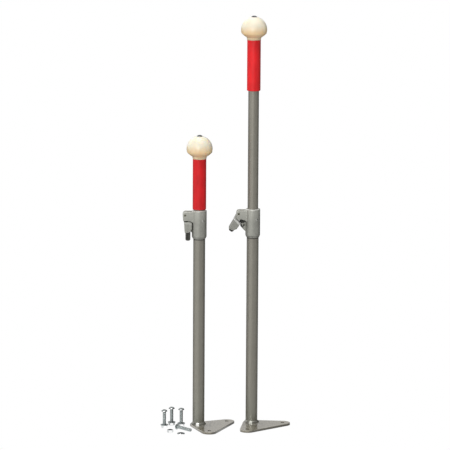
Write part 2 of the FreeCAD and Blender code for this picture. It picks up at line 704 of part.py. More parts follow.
def main():
    os.makedirs("parts", exist_ok=True)
    for name, shape in post(LEFT_FOOT_DEG, 0.0, 0.0, 0.0):
        save(f"left_{name}", [shape])
    for name, shape in post(RIGHT_FOOT_DEG, RIGHT_LIFT, RIGHT_OPEN_DEG, TAB_TRAVEL):
        shape.translate(vec(RIGHT_POST_X, RIGHT_POST_Y, 0))
        save(f"right_{name}", [shape])
    save("foot_bolts", foot_bolts())
    save("foot_nuts", foot_nuts())
    save("foot_washers", foot_washers())


main()
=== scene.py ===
# The looks of a pair of telescopic posts: one pushed down with its clamp lever shut, one drawn
# out with its lever open, and the loose screws, washers and nuts beside them. Metres, +Z up, as
# in the CAD frame. Sizes in the classes below are in millimetres where their names end in _mm.

import logging
import math
from collections.abc import Callable
from dataclasses import dataclass, field
from enum import Enum

import bmesh
import bpy
from mathutils import Matrix, Vector

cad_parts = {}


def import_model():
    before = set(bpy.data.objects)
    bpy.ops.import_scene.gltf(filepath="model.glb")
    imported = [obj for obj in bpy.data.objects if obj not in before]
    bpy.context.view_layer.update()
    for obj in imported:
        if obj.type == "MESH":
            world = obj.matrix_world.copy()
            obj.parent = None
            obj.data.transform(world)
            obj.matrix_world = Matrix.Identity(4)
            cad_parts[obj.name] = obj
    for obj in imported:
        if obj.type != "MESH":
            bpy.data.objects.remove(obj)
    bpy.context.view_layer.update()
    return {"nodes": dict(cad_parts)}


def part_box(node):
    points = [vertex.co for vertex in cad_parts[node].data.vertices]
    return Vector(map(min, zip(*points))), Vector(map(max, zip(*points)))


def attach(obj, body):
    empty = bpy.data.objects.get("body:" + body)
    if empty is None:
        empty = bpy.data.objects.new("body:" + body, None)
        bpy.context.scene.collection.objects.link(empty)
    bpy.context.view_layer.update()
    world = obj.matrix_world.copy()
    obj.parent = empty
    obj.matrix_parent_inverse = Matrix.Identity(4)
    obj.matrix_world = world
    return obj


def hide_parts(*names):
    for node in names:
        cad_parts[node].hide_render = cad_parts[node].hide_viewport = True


LOG = logging.getLogger("posts")
MM = 0.001
WHITE = (1.0, 1.0, 1.0)

BMesh = bmesh.types.BMesh
Material = bpy.types.Material
Piece = bpy.types.Object
Socket = bpy.types.NodeSocket
Colour = tuple[float, float, float]
Point = tuple[float, float, float]
Span = tuple[float, float]


def shaded(colour: Colour, share: float) -> Colour:
    """A colour made darker or lighter by a factor."""
    return tuple(min(1.0, part * share) for part in colour)


class Side(Enum):
    """The two posts."""

    LEFT = "left"
    RIGHT = "right"


class Graph:
    """Builds the node graph of one procedural material on Object coordinates in millimetres."""

    def __init__(self, name: str) -> None:
        """Starts a material with a Principled shader.

        Args:
            name: The material's name.
        """
        self.material = bpy.data.materials.new(name)
        self.material.use_nodes = True
        self.tree = self.material.node_tree
        self.tree.nodes.clear()
        output = self.tree.nodes.new("ShaderNodeOutputMaterial")
        self.shader = self.tree.nodes.new("ShaderNodeBsdfPrincipled")
        self.join(self.shader.outputs["BSDF"], output.inputs["Surface"])
        coords = self.tree.nodes.new("ShaderNodeTexCoord")
        self.object_mm = self.vector_math("SCALE", coords.outputs["Object"], scale=1.0 / MM)

    @classmethod
    def of_tree(cls, tree: bpy.types.NodeTree) -> "Graph":
        """Wraps a node tree that exists already, such as the world's."""
        graph = cls.__new__(cls)
        graph.tree = tree
        return graph

    def join(self, start: Socket, end: Socket) -> None:
        """Links two sockets."""
        self.tree.links.new(start, end)

    def feed(self, socket: Socket, value: object) -> None:
        """Links a socket, or sets a plain value.

        Args:
            socket: The input socket.
            value: A socket to link, a number or a colour.
        """
        if isinstance(value, Socket):
            self.join(value, socket)
        elif isinstance(value, tuple) and len(value) == 3 and socket.type == "RGBA":
            socket.default_value = (*value, 1.0)
        else:
            socket.default_value = value

    def set(self, **values: object) -> None:
        """Sets inputs of the Principled shader by name, with _ for a space."""
        for name, value in values.items():
            self.feed(self.shader.inputs[name.replace("_", " ")], value)

    def vector_math(self, operation: str, first: object, second: object = None, scale: float = 1.0) -> Socket:
        """Adds a vector math node.

        Args:
            operation: The node's operation.
            first: The first vector.
            second: The second vector, where the operation has one.
            scale: The factor of the SCALE operation.

        Returns:
            The vector output.
        """
        node = self.tree.nodes.new("ShaderNodeVectorMath")
        node.operation = operation
        self.feed(node.inputs[0], first)
        if second is not None:
            self.feed(node.inputs[1], second)
        if operation == "SCALE":
            node.inputs["Scale"].default_value = scale
        return node.outputs["Vector"]

    def dot(self, first: object, second: object) -> Socket:
        """The dot product of two vectors."""
        node = self.tree.nodes.new("ShaderNodeVectorMath")
        node.operation = "DOT_PRODUCT"
        self.feed(node.inputs[0], first)
        self.feed(node.inputs[1], second)
        return node.outputs["Value"]

    def axis(self, name: str, coords: object = None) -> Socket:
        """One axis, X, Y or Z, of the coordinates in millimetres."""
        node = self.tree.nodes.new("ShaderNodeSeparateXYZ")
        self.join(coords or self.object_mm, node.inputs[0])
        return node.outputs[name]

    def offset(self, place_mm: Point) -> Socket:
        """The offset from a place, in millimetres."""
        return self.vector_math("SUBTRACT", self.object_mm, place_mm)

    def facing(self, name: str) -> Socket:
        """One axis, X, Y or Z, of the direction that the surface faces."""
        return self.axis(name, self.tree.nodes.new("ShaderNodeNewGeometry").outputs["Normal"])

    def apart(self, offset: Socket, kept: Point) -> Socket:
        """The length of an offset along the axes that are kept, marked by 1."""
        flat = self.stretched(kept, offset)
        return self.math("SQRT", self.dot(flat, flat))

    def soft_edges(self, radius_mm: float) -> Socket:
        """A normal that is rounded over near edges."""
        node = self.tree.nodes.new("ShaderNodeBevel")
        node.samples = 4
        node.inputs["Radius"].default_value = radius_mm * MM
        return node.outputs["Normal"]

    def math(self, operation: str, first: object, second: object = 0.0) -> Socket:
        """Adds a math node and returns its output."""
        node = self.tree.nodes.new("ShaderNodeMath")
        node.operation = operation
        self.feed(node.inputs[0], first)
        self.feed(node.inputs[1], second)
        return node.outputs["Value"]

    def stretched(self, scale: Point, coords: object = None) -> Socket:
        """Coordinates multiplied per axis, the plain ones in millimetres where none are given."""
        return self.vector_math("MULTIPLY", coords or self.object_mm, scale)

    def noise(self, size_mm: float, detail: float = 2.0, rough: float = 0.5, coords: object = None,
              distortion: float = 0.0) -> Socket:
        """Adds a noise texture.

        Args:
            size_mm: The size of its features.
            detail: Its number of octaves.
            rough: How strong the finer octaves are.
            coords: Other coordinates than the plain ones in millimetres.
            distortion: How far it is warped.

        Returns:
            The noise value, around 0.5.
        """
        node = self.tree.nodes.new("ShaderNodeTexNoise")
        self.join(coords or self.object_mm, node.inputs["Vector"])
        node.inputs["Scale"].default_value = 1.0 / size_mm
        node.inputs["Detail"].default_value = detail
        node.inputs["Roughness"].default_value = rough
        node.inputs["Distortion"].default_value = distortion
        return node.outputs["Fac"]

    def cells(self, size_mm: float, feature: str = "F1", smooth: float = 0.0) -> bpy.types.Node:
        """Adds a Voronoi texture of that cell size and returns its node."""
        node = self.tree.nodes.new("ShaderNodeTexVoronoi")
        node.feature = feature
        self.join(self.object_mm, node.inputs["Vector"])
        node.inputs["Scale"].default_value = 1.0 / size_mm
        if feature == "SMOOTH_F1":
            node.inputs["Smoothness"].default_value = smooth
        return node

    def ramp(self, value: object, stops: list[tuple[float, Colour]]) -> Socket:
        """Adds a colour ramp.

        Args:
            value: What drives it.
            stops: Positions and colours.

        Returns:
            The colour output.
        """
        node = self.tree.nodes.new("ShaderNodeValToRGB")
        elements = node.color_ramp.elements
        while len(elements) < len(stops):
            elements.new(0.5)
        for element, (position, colour) in zip(elements, stops):
            element.position = position
            element.color = (*colour, 1.0)
        self.join(value, node.inputs["Fac"])
        return node.outputs["Color"]

    def spread(self, value: object, low: float, high: float, to_low: float, to_high: float,
               kind: str = "LINEAR") -> Socket:
        """Maps a value from one range to another, clamped.

        Args:
            value: What to map.
            low: Where the old range starts.
            high: Where the old range ends.
            to_low: Where the new range starts.
            to_high: Where the new range ends.
            kind: The interpolation type.

        Returns:
            The mapped value.
        """
        node = self.tree.nodes.new("ShaderNodeMapRange")
        node.interpolation_type = kind
        self.feed(node.inputs["Value"], value)
        ends = {"From Min": low, "From Max": high, "To Min": to_low, "To Max": to_high}
        for name, number in ends.items():
            node.inputs[name].default_value = number
        return node.outputs["Result"]

    def band(self, value: object, rise: Span, fall: Span, share: float = 1.0) -> Socket:
        """A mask that rises to a share over one range of a value and falls back to 0 over another."""
        risen = self.spread(value, *rise, 0.0, share)
        return self.math("MULTIPLY", risen, self.spread(value, *fall, 1.0, 0.0))

    def wavering(self, noise: Socket, low: float, high: float) -> Socket:
        """A value that wavers with a noise between two ends."""
        return self.spread(noise, 0.3, 0.7, low, high)

    def blend(self, factor: object, first: object, second: object, kind: str = "MIX") -> Socket:
        """Mixes two colours.

        Args:
            factor: How much of the second.
            first: The first colour.
            second: The second colour.
            kind: The blend type.

        Returns:
            The mixed colour.
        """
        node = self.tree.nodes.new("ShaderNodeMix")
        node.data_type = "RGBA"
        node.blend_type = kind
        self.feed(node.inputs[0], factor)
        self.feed(node.inputs[6], first)
        self.feed(node.inputs[7], second)
        return node.outputs[2]

    def bump(self, height: object, depth_mm: float, below: object = None) -> Socket:
        """Adds a bump of a real depth.

        Args:
            height: The height, 0 to 1.
            depth_mm: What a height of 1 is.
            below: The normal of the bump beneath.

        Returns:
            The normal.
        """
        node = self.tree.nodes.new("ShaderNodeBump")
        node.inputs["Strength"].default_value = 1.0
        node.inputs["Distance"].default_value = depth_mm * MM
        self.feed(node.inputs["Height"], height)
        if below is not None:
            self.join(below, node.inputs["Normal"])
        return node.outputs["Normal"]

    def shade_in_hollows(self, reach_mm: float, open_share: float = 0.85) -> Socket:
        """A mask of hollows, where shade is painted.

        Args:
            reach_mm: How far away a wall still closes a hollow.
            open_share: The share of open space from which on nothing gathers.

        Returns:
            The mask, 1 where hardly anything is open.
        """
        node = self.tree.nodes.new("ShaderNodeAmbientOcclusion")
        node.samples = 8
        node.inputs["Distance"].default_value = reach_mm * MM
        closed_share = 0.25
        return self.spread(node.outputs["AO"], closed_share, open_share, 1.0, 0.0)

    def edge_mask(self, radius_mm: float, threshold: float) -> Socket:
        """A mask of sharp edges: where a rounded normal leaves the true one.

        Args:
            radius_mm: How far from an edge it reaches.
            threshold: How much of the flats it leaves out.

        Returns:
            The mask, 1 on edges.
        """
        true = self.tree.nodes.new("ShaderNodeNewGeometry").outputs["Normal"]
        fade = 0.12
        return self.spread(self.dot(self.soft_edges(radius_mm), true), threshold, threshold - fade, 0.0, 1.0)


@dataclass(frozen=True)
class MetallicPaint:
    """Fine metallic grey-olive paint of the tubes and plates, with painted shade in hollows, under the
    clamp's collar and on faces turned right, and a painted dark reflection of the tube on the plate.
    """

    name: str = "metallic_paint"
    colour: Colour = (0.226, 0.214, 0.178)
    metallic: float = 0.45
    roughness: float = 0.40
    coat: float = 0.35
    coat_roughness: float = 0.12
    flake_mm: float = 0.55
    peel_mm: float = 1.8
    peel_depth_mm: float = 0.012
    shade_colour: Colour = (0.035, 0.033, 0.026)
    shade_reach_mm: float = 3.0
    hollow_shade_share: float = 0.8
    shade_under_collar_mm: Span = (2000.0, 2001.0)
    tube_mm: Point = (0.0, 0.0, 0.0)
    reflection_blotch_mm: Span = (0.0, 1.0)
    reflection_blotch_share: float = 0.0
    right_face_shade: float = 0.0
    low: Colour = (0.226, 0.214, 0.178)
    low_mm: Span = (25.0, 110.0)

    def make(self) -> Material:
        """Builds the material."""
        g = Graph(self.name)
        light = shaded(self.colour, 1.08)
        flakes = g.cells(self.flake_mm).outputs["Color"]
        speckle = g.ramp(flakes, [(0.15, shaded(self.colour, 0.9)), (0.5, self.colour), (0.85, light)])
        clouds = g.noise(26.0, 3.0)
        colour = g.blend(g.spread(clouds, 0.35, 0.7, 0.0, 0.35), speckle, shaded(self.colour, 0.86))
        scuffs = g.noise(2.2, 4.0, 0.7, g.stretched((1.0, 1.0, 0.06)))
        colour = g.blend(g.spread(scuffs, 0.63, 0.72, 0.0, 0.3), colour, light)
        colour = g.blend(g.spread(g.axis("Z"), *self.low_mm, 0.6, 0.0), colour, self.low)
        # Painted shade: a dark band just under the clamp's collar, and in hollows.
        under = g.spread(g.axis("Z"), *self.shade_under_collar_mm, 0.0, 0.85)
        painted_shade = g.math("MAXIMUM", under, g.math("MULTIPLY", g.shade_in_hollows(self.shade_reach_mm), self.hollow_shade_share))
        colour = g.blend(painted_shade, colour, self.shade_colour)
        # Dark blotches near the tube: a painted reflection of the tube in the glossy plate.
        away = g.apart(g.offset(self.tube_mm), (1.0, 1.0, 0.0))
        near = g.spread(away, *self.reflection_blotch_mm, self.reflection_blotch_share, 0.0)
        reflection_blotches = g.spread(g.noise(5.0, 2.0, 0.6, g.stretched((1.0, 0.2, 1.0))), 0.42, 0.56, 1.0, 0.0)
        colour = g.blend(g.math("MULTIPLY", near, reflection_blotches), colour, shaded(self.colour, 0.2))
        # Painted shade on faces turned to the right, away from the light.
        colour = g.blend(g.spread(g.facing("X"), 0.15, 0.45, 0.0, self.right_face_shade), colour, self.shade_colour)
        g.set(Base_Color=colour, Metallic=self.metallic, Coat_Weight=self.coat,
              Coat_Roughness=self.coat_roughness,
              Roughness=g.wavering(g.noise(9.0, 3.0), self.roughness - 0.06, self.roughness + 0.07))
        peel = g.bump(g.noise(self.peel_mm, 1.0), self.peel_depth_mm)
        g.set(Normal=g.bump(g.noise(0.35, 2.0), 0.0035, peel))
        return g.material


@dataclass(frozen=True)
class CastCoating:
    """Light grey coating over a lumpy die casting, with painted highlights on its top rim, edges and lever
    shoulder, and painted shade in its hollows, at the hinge and at the lever's tip.
    """

    name: str
    pin_mm: Point
    tip_mm: float = 2000.0
    colour: Colour = (0.313, 0.315, 0.279)
    roughness: float = 0.42
    lighter_from_mm: float = 492.0
    lightest_above_mm: float = 514.0
    rim_mm: Span = (518.6, 521.0)
    highlight_colour: Colour = (0.80, 0.80, 0.76)
    shade_colour: Colour = (0.03, 0.03, 0.024)
    shade_reach_mm: float = 4.0
    highlight_reach_mm: float = 0.0
    shadow_ring_mm: Span = (-2.0, -1.0)
    shoulder: Point = (0.0, 0.0, 0.0)
    shoulder_mm: Span = (13.4, 16.8)
    shoulder_highlight_share: float = 0.0
    shade: float = 1.0
    lip_shade_mm: Span = (456.2, 457.6)
    shade_z_mm: Span = (-21.0, -19.2)
    shade_x_mm: Span = (12.6, 14.0)
    shade_deeper_mm: float = 2.6
    rib_inward: Point = (0.865, 0.0, 0.5)
    rib_edge_mm: Span = (-7.6, -6.2)
    neck_z_mm: Span = (-10.0, -8.0)
    rib_foot_mm: Span = (-36.0, -31.0)
    rib_half_mm: float = 4.0
    pocket_from_mm: float = 9.8
    pocket_half_mm: float = 1.7

    def deep_shade(self, g: Graph, local: Socket, reach: Socket) -> Socket:
        """A mask of painted shade on the rib and in its pockets, under the lug, at the lever's tip and in a
        ring round its pin.

        Args:
            g: The material's graph.
            local: The place from the lever's pin, in millimetres.
            reach: The distance from the pin's axis.

        Returns:
            The mask, 1 where the painted shade is darkest.
        """
        across = g.math("ABSOLUTE", g.axis("Y", local))
        height = g.axis("Z", local)
        deeper = g.spread(g.axis("X", local), *self.shade_x_mm, self.shade_deeper_mm, 0.0)
        under = g.math("MULTIPLY", g.spread(g.math("ADD", height, deeper), *self.shade_z_mm, 0.0, 1.0),
                       g.spread(height, *self.neck_z_mm, 1.0, 0.0))
        outer = g.math("MULTIPLY", g.spread(g.dot(local, self.rib_inward), *self.rib_edge_mm, 1.0, 0.0),
                       g.spread(height, *self.rib_foot_mm, 0.0, 1.0))
        hinge = g.math("MULTIPLY", g.math("MAXIMUM", under, outer),
                       g.spread(across, self.rib_half_mm, self.rib_half_mm + 1.0, 1.0, 0.0))
        inward = g.spread(g.axis("X", local), self.pocket_from_mm, self.pocket_from_mm + 0.5, 0.0, 1.0)
        pocket = g.math("MULTIPLY", inward,
                        g.spread(across, self.pocket_half_mm, self.pocket_half_mm + 0.5, 1.0, 0.0))
        # Painted shade at the lever's tip, and a painted shadow line in a ring round its pin.
        tip = g.spread(reach, self.tip_mm, self.tip_mm + 1.4, 0.0, 0.95)
        start, end = self.shadow_ring_mm
        ring = g.band(reach, (start - 0.6, start), (end, end + 0.6), 0.95)
        return g.math("MAXIMUM", g.math("MAXIMUM", hinge, pocket), g.math("MAXIMUM", tip, ring))

    def make(self) -> Material:
        """Builds the material."""
        g = Graph(self.name)
        local = g.offset(self.pin_mm)
        reach = g.apart(local, (1.0, 0.0, 1.0))
        middle = shaded(self.colour, self.shade)
        dark, light = shaded(middle, 0.78), shaded(middle, 1.2)
        grain = g.ramp(g.noise(0.8, 4.0, 0.65), [(0.3, dark), (0.55, middle), (0.75, light)])
        clouds = g.noise(6.0, 3.0)
        colour = g.blend(g.spread(clouds, 0.4, 0.72, 0.0, 0.5), grain, dark)
        colour = g.blend(g.spread(clouds, 0.32, 0.45, 0.4, 0.0), colour, light)
        # Lighter towards the top.
        lighter_top = g.spread(g.axis("Z"), self.lighter_from_mm, self.lightest_above_mm, 0.0, 0.45)
        colour = g.blend(lighter_top, colour, shaded(self.colour, 1.5))
        # Painted highlights on the edges, stronger near the lever's pin.
        edge_highlight = g.spread(reach, self.highlight_reach_mm, self.highlight_reach_mm + 1.5, 0.95, 0.35)
        colour = g.blend(g.math("MULTIPLY", g.edge_mask(1.4, 0.93), edge_highlight), colour, self.highlight_colour)
        # Painted shade in hollows, weaker near the lever's pin.
        shade_strength = g.spread(reach, self.highlight_reach_mm, self.highlight_reach_mm + 1.5, 0.2, 0.9)
        colour = g.blend(g.math("MULTIPLY", g.shade_in_hollows(self.shade_reach_mm), shade_strength), colour, self.shade_colour)
        # Painted shade: a dark line where the collar meets the barrel's taper.
        start, end = self.lip_shade_mm
        colour = g.blend(g.band(g.axis("Z"), (start - 0.8, start), (end, end + 0.8), 0.4), colour, self.shade_colour)
        # Painted highlight along the lever's shoulder.
        start, end = self.shoulder_mm
        down = g.dot(local, self.shoulder)
        bright = g.band(down, (start - 0.4, start), (end, end + 1.0), self.shoulder_highlight_share)
        colour = g.blend(bright, colour, shaded(self.highlight_colour, 0.75))
        # Painted highlight along the barrel's top rim.
        colour = g.blend(g.spread(g.axis("Z"), *self.rim_mm, 0.0, 0.55), colour, self.highlight_colour)
        deep_shade = self.deep_shade(g, local, reach)
        # Painted shade under the lug, on the rib, at the lever's tip and round its pin.
        colour = g.blend(deep_shade, colour, shaded(self.shade_colour, 0.5))
        g.set(Base_Color=colour, Metallic=0.4, Coat_Weight=g.spread(deep_shade, 0.0, 1.0, 0.25, 0.0),
              Coat_Roughness=0.2,
              Roughness=g.wavering(g.noise(4.0, 3.0), self.roughness - 0.07, self.roughness + 0.09))
        lumps = g.bump(g.noise(4.2, 2.0), 0.16)
        skin = g.bump(g.cells(1.3, "SMOOTH_F1", 0.8).outputs["Distance"], 0.03, lumps)
        g.set(Normal=g.bump(g.noise(0.3, 2.0), 0.006, skin))
        return g.material


@dataclass(frozen=True)
class RedVinyl:
    """Satin red vinyl of the grips, dipped, with a faint orange peel and painted shade on the right side."""

    name: str
    colour: Colour
    middle_mm: float = 0.0
    right_side_shade: float = 0.0

    def make(self) -> Material:
        """Builds the material."""
        g = Graph(self.name)
        clouds = g.noise(14.0, 3.0, 0.5, g.stretched((1.0, 1.0, 0.35)))
        colour = g.ramp(clouds, [(0.3, shaded(self.colour, 0.8)), (0.6, self.colour),
                                 (0.8, shaded(self.colour, 1.08))])
        # Painted shade on the right side, away from the light.
        side = g.spread(g.axis("X"), self.middle_mm + 2.0, self.middle_mm + 14.0, 0.0, self.right_side_shade)
        colour = g.blend(side, colour, shaded(self.colour, 0.5))
        g.set(Base_Color=colour, Specular_IOR_Level=0.28, Subsurface_Weight=0.04, Subsurface_Scale=0.002,
              Roughness=g.wavering(g.noise(5.0, 3.0), 0.30, 0.42))
        peel = g.bump(g.noise(1.6, 2.0), 0.02)
        lines = g.noise(0.7, 2.0, 0.5, g.stretched((1.0, 1.0, 0.02)))
        g.set(Normal=g.bump(lines, 0.012, peel))
        return g.material


@dataclass(frozen=True)
class PaleWood:
    """Pale close-grained wood under clear lacquer, paler at its crown and yellower towards its neck, partly
    its own tone and partly painted light on the crown and painted shade at the neck, with painted light on
    its right side.
    """

    name: str
    middle_mm: Point
    crown: Colour = (0.84, 0.785, 0.63)
    flank: Colour = (0.87, 0.64, 0.36)
    neck: Colour = (0.80, 0.59, 0.36)

    def make(self) -> Material:
        """Builds the material."""
        g = Graph(self.name)
        local = g.offset(self.middle_mm)
        grain = g.stretched((1.0, 1.0, 0.09), local)
        growth = g.noise(7.0, 2.0, 0.5, grain, 0.6)
        fibres = g.noise(0.8, 3.0, 0.6, grain)
        height = g.math("ADD", g.axis("Z", local), g.wavering(growth, -2.0, 2.0))
        # Painted light: the right side made lighter.
        right_side_light = g.spread(g.axis("X", local), -6.0, 28.0, 0.0, 0.75)
        # Crown to neck: partly the wood's own tone, partly painted light on the crown and painted shade
        # towards the neck.
        colour = g.ramp(g.spread(height, -27.0, 10.0, 0.0, 1.0),
                        [(0.0, self.neck), (0.22, self.neck), (0.5, self.flank), (0.95, self.crown)])
        colour = g.blend(right_side_light, colour, g.blend(1.0, colour, (1.16, 1.16, 1.16), "MULTIPLY"))
        amber = shaded(self.flank, 0.72)
        colour = g.blend(g.spread(fibres, 0.5, 0.75, 0.0, 0.14), colour, amber)
        pores = g.noise(0.45, 2.0, 0.5, g.stretched((1.0, 1.0, 0.05), local))
        colour = g.blend(g.spread(pores, 0.66, 0.74, 0.0, 0.22), colour, amber)
        g.set(Base_Color=colour, Roughness=g.wavering(growth, 0.34, 0.44), Coat_Weight=0.5,
              Coat_Roughness=0.3, Subsurface_Weight=0.6, Subsurface_Scale=0.012,
              Subsurface_Radius=(1.0, 0.85, 0.6))
        g.set(Normal=g.bump(fibres, 0.008))
        return g.material


@dataclass(frozen=True)
class BareSteel:
    """Steel fixings: plated, polished or blackened, some with a painted highlight on the front of a band of
    height and painted shade beside it.
    """

    name: str
    colour: Colour
    roughness: float
    metallic: float = 1.0
    grime: float = 0.35
    stain_mm: float = 3.5
    edge_gain: float = 1.3
    edge_share: float = 0.5
    edge_tone_mm: float = 0.35
    highlight_band_mm: Span = (2000.0, 2000.0)
    beside_highlight_shade: float = 0.62
    front_highlight_share: float = 1.0
    edge_mm: float = 0.25

    def make(self) -> Material:
        """Builds the material."""
        g = Graph(self.name)
        stains = g.noise(self.stain_mm, 4.0, 0.6)
        stained = g.spread(stains, 0.45, 0.75, 0.0, self.grime)
        colour = g.blend(stained, self.colour, shaded(self.colour, 0.62))
        # Edges lighter or darker by edge_gain; on the nuts darker, as painted dark outlines.
        edge_tone = g.math("MULTIPLY", g.edge_mask(self.edge_tone_mm, 0.985), self.edge_share)
        colour = g.blend(edge_tone, colour, shaded(self.colour, self.edge_gain))
        # Painted highlight on the front of a band of height, painted shade beside it.
        low, high = self.highlight_band_mm
        highlight_band = g.band(g.axis("Z"), (low, low + 0.3), (high, high + 0.3))
        front = g.spread(g.facing("Y"), -0.72, -0.86, 0.0, self.front_highlight_share)
        around = shaded(self.colour, self.beside_highlight_shade)
        colour = g.blend(highlight_band, colour, g.blend(front, around, WHITE))
        smooth = g.math("MULTIPLY", highlight_band, 0.2)
        rough = g.wavering(g.noise(1.2, 3.0), self.roughness - 0.05, self.roughness + 0.09)
        g.set(Base_Color=colour, Metallic=self.metallic, Roughness=g.math("SUBTRACT", rough, smooth))
        g.set(Normal=g.bump(g.noise(0.25, 2.0), 0.004, g.soft_edges(self.edge_mm)))
        return g.material


@dataclass(frozen=True)
class DarkPlastic:
    """Black moulded plastic of the glide bushes and brake pads."""

    name: str
    colour: Colour = (0.028, 0.027, 0.026)

    def make(self) -> Material:
        """Builds the material."""
        g = Graph(self.name)
        rub = g.noise(1.4, 3.0, 0.6, g.stretched((1.0, 1.0, 0.12)))
        colour = g.blend(g.spread(rub, 0.5, 0.75, 0.0, 0.5), self.colour, (0.075, 0.073, 0.07))
        g.set(Base_Color=colour, Roughness=g.spread(rub, 0.35, 0.7, 0.42, 0.62))
        g.set(Normal=g.bump(g.noise(0.5, 2.0), 0.01))
        return g.material


@dataclass(frozen=True)
class PaintedWeld:
    """The plates' paint over a weld bead: mottled, with a painted highlight at one side."""

    name: str
    tube_mm: Point
    bright: Colour
    colour: Colour = (0.19, 0.185, 0.155)
    bright_toward: Point = (-0.14, -0.99, 0.0)
    bright_cos: Span = (0.965, 0.985)

    def make(self) -> Material:
        """Builds the material."""
        g = Graph(self.name)
        spatter = g.noise(1.1, 3.0, 0.6)
        colour = g.ramp(spatter, [(0.3, shaded(self.colour, 0.55)), (0.6, self.colour)])
        # Painted highlight on the side of the bead that faces bright_toward.
        flat = g.stretched((1.0, 1.0, 0.0), g.offset(self.tube_mm))
        front = g.dot(g.vector_math("NORMALIZE", flat), self.bright_toward)
        colour = g.blend(g.spread(front, *self.bright_cos, 0.0, 1.0), colour, self.bright)
        g.set(Base_Color=colour, Metallic=0.5, Coat_Weight=0.8, Coat_Roughness=0.08,
              Roughness=g.wavering(spatter, 0.26, 0.4))
        g.set(Normal=g.bump(spatter, 0.08))
        return g.material


def made(recipe: MetallicPaint | RedVinyl | BareSteel | DarkPlastic) -> Material:
    """A field that holds a recipe's material, made when its dataclass is."""
    return field(default_factory=recipe.make)


@dataclass
class Finishes:
    """The materials that both posts and the loose fixings share."""

    tube: Material = made(MetallicPaint(hollow_shade_share=0.0))
    # Painted shade under the clamp's collar and in hollows.
    outer_tube: Material = made(MetallicPaint(
        "outer_tube_paint", shade_under_collar_mm=(449.9, 451.5), low=(0.232, 0.236, 0.194)))
    # The grips carry painted shade on their right sides.
    left_grip: Material = made(RedVinyl("left_red_vinyl", (0.70, 0.009, 0.013), right_side_shade=0.15))
    right_grip: Material = made(RedVinyl(
        "right_red_vinyl", (0.84, 0.015, 0.019), middle_mm=126.0, right_side_shade=0.4))
    # Painted highlight on the front of the standing screws' heads, painted shade beside it.
    zinc: Material = made(BareSteel(
        "zinc_plate", (0.325, 0.355, 0.35), 0.42, grime=0.2, stain_mm=12.0, highlight_band_mm=(40.05, 2000.0)))
    # Painted highlight on the front of the loose washer.
    washer: Material = made(BareSteel(
        "zinc_washer", (0.24, 0.26, 0.26), 0.36, highlight_band_mm=(-1.0, 1.7), beside_highlight_shade=0.9))
    turned: Material = made(BareSteel("turned_steel", (0.36, 0.35, 0.33), 0.34))
    pin: Material = made(BareSteel("dark_pin", (0.10, 0.10, 0.07), 0.45))
    rivet: Material = made(BareSteel("bright_rivet", (0.42, 0.42, 0.39), 0.38))
    # Painted highlight on the nuts' fronts, painted shade beside it, and painted dark outlines along their
    # edges.
    nut: Material = made(BareSteel(
        "zinc_nut", (0.80, 0.83, 0.83), 0.4, edge_gain=0.2, edge_share=1.0, edge_tone_mm=1.2,
        highlight_band_mm=(-1.0, 7.0), beside_highlight_shade=0.6, front_highlight_share=0.62))
    knob_head: Material = made(BareSteel("dark_head", (0.10, 0.10, 0.10), 0.3))
    black: Material = made(BareSteel("black_steel", (0.05, 0.05, 0.042), 0.5, 0.5))
    bush: Material = made(DarkPlastic("bush_nylon"))
    pad: Material = made(DarkPlastic("pad_nylon"))


Level = float | Callable[[float], float]


def hexagon(flats_mm: float) -> Callable[[float], float]:
    """The radius of a hexagon's outline by angle, with a corner at angle 0."""
    return lambda angle: flats_mm / 2 / math.cos(angle % (math.pi / 3) - math.pi / 6)


def stack(bm: BMesh, loops: list[tuple[Level, Level]], segments: int, ring: bool = False) -> None:
    """Bridges loops round the Z axis into one closed skin.

    Args:
        bm: The mesh that gets them.
        loops: The radius and height of each, as numbers or as functions of the angle.
        segments: How many sides a loop has.
        ring: Joins the last loop to the first, where both ends are closed otherwise.
    """
    rings = []
    for radius, height in loops:
        verts = bmesh.ops.create_circle(bm, segments=segments, radius=1.0)["verts"]
        for vert in verts:
            angle = math.atan2(vert.co.y, vert.co.x)
            reach = radius(angle) if callable(radius) else radius
            level = height(angle) if callable(height) else height
            vert.co = (reach * math.cos(angle), reach * math.sin(angle), level)
        rings.append(list({edge for vert in verts for edge in vert.link_edges}))
    for low, high in zip(rings, rings[1:] + (rings[:1] if ring else [])):
        bmesh.ops.bridge_loops(bm, edges=low + high)
    if not ring:
        bmesh.ops.contextual_create(bm, geom=rings[0])
        bmesh.ops.contextual_create(bm, geom=rings[-1])


def thread(bm: BMesh, root_mm: float, crest_mm: float, low_mm: float, turns: int,
           pitch_mm: float = 1.25, steps: int = 12) -> None:
    """Winds a closed thread ridge round the Z axis.

    Args:
        bm: The mesh that gets it.
        root_mm: Radius of its foot, a little inside the wall that it stands on.
        crest_mm: Radius of its crest, smaller than root_mm inside a bore.
        low_mm: Height of its start.
        turns: Full turns.
        pitch_mm: Rise of a turn.
        steps: Sides of a turn.
    """
    section = [(root_mm, 0.04), (crest_mm, 0.42), (crest_mm, 0.58), (root_mm, 0.96)]
    verts = [bm.verts.new((radius, 0.0, low_mm + share * pitch_mm)) for radius, share in section]
    face = bmesh.ops.contextual_create(bm, geom=verts)["faces"]
    start = face + list(face[0].edges) + verts
    bmesh.ops.spin(bm, geom=start, cent=(0.0, 0.0, 0.0), axis=(0.0, 0.0, 1.0), steps=steps * turns,
                   angle=2 * math.pi * turns, dvec=(0.0, 0.0, pitch_mm / steps), use_duplicate=False)


